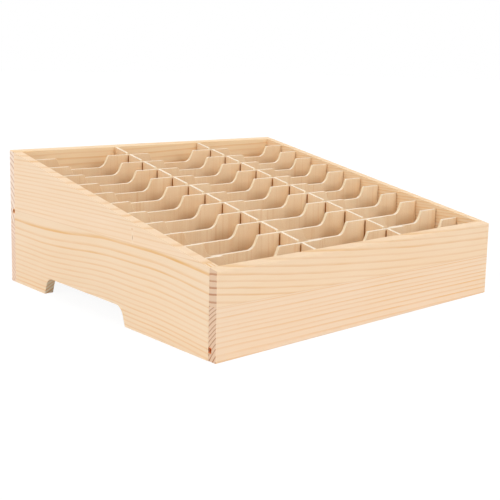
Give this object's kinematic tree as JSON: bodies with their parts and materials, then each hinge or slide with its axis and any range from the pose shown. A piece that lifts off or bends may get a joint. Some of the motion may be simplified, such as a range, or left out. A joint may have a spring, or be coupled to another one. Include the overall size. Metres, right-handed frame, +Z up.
{
  "type": "slanted desk organizer",
  "caption": "Open pine desk organizer with a rim that slopes down to the front and a lift-out grid of plywood dividers with finger scoops.",
  "frame": {"origin": "on the base, midway between the sides and midway from front to back", "axes": "+X to the right along the width, +Y from the low front to the high back, +Z up"},
  "size_m": [0.36, 0.33, 0.136],
  "materials": {
    "pine": "sanded and bare",
    "plywood": "sanded and bare",
    "dowel_wood": "bare"
  },
  "bodies": {
    "box": {"front_board": "pine", "back_board": "pine", "left_side_panel": "pine", "right_side_panel": "pine", "floor_panel": "plywood", "corner_dowels": "dowel_wood"},
    "divider_grid": {"long_divider_1": "plywood", "long_divider_2": "plywood"},
    "cross_divider_01": {"cross_divider_01": "plywood"},
    "cross_divider_02": {"cross_divider_02": "plywood"},
    "cross_divider_03": {"cross_divider_03": "plywood"},
    "cross_divider_04": {"cross_divider_04": "plywood"},
    "cross_divider_05": {"cross_divider_05": "plywood"},
    "cross_divider_06": {"cross_divider_06": "plywood"},
    "cross_divider_07": {"cross_divider_07": "plywood"},
    "cross_divider_08": {"cross_divider_08": "plywood"},
    "cross_divider_09": {"cross_divider_09": "plywood"},
    "cross_divider_10": {"cross_divider_10": "plywood"},
    "cross_divider_11": {"cross_divider_11": "plywood"}
  },
  "joints": [
    {"name": "divider_grid_lift", "type": "slide", "parent": "box", "child": "divider_grid", "axis": [0, 0, 1], "range_m": [0, 0.07]},
    {"name": "cross_divider_01_lift", "type": "slide", "parent": "divider_grid", "child": "cross_divider_01", "axis": [0, 0, 1], "range_m": [0, 0.07]},
    {"name": "cross_divider_02_lift", "type": "slide", "parent": "divider_grid", "child": "cross_divider_02", "axis": [0, 0, 1], "range_m": [0, 0.07]},
    {"name": "cross_divider_03_lift", "type": "slide", "parent": "divider_grid", "child": "cross_divider_03", "axis": [0, 0, 1], "range_m": [0, 0.07]},
    {"name": "cross_divider_04_lift", "type": "slide", "parent": "divider_grid", "child": "cross_divider_04", "axis": [0, 0, 1], "range_m": [0, 0.07]},
    {"name": "cross_divider_05_lift", "type": "slide", "parent": "divider_grid", "child": "cross_divider_05", "axis": [0, 0, 1], "range_m": [0, 0.07]},
    {"name": "cross_divider_06_lift", "type": "slide", "parent": "divider_grid", "child": "cross_divider_06", "axis": [0, 0, 1], "range_m": [0, 0.07]},
    {"name": "cross_divider_07_lift", "type": "slide", "parent": "divider_grid", "child": "cross_divider_07", "axis": [0, 0, 1], "range_m": [0, 0.07]},
    {"name": "cross_divider_08_lift", "type": "slide", "parent": "divider_grid", "child": "cross_divider_08", "axis": [0, 0, 1], "range_m": [0, 0.07]},
    {"name": "cross_divider_09_lift", "type": "slide", "parent": "divider_grid", "child": "cross_divider_09", "axis": [0, 0, 1], "range_m": [0, 0.07]},
    {"name": "cross_divider_10_lift", "type": "slide", "parent": "divider_grid", "child": "cross_divider_10", "axis": [0, 0, 1], "range_m": [0, 0.07]},
    {"name": "cross_divider_11_lift", "type": "slide", "parent": "divider_grid", "child": "cross_divider_11", "axis": [0, 0, 1], "range_m": [0, 0.07]}
  ]
}
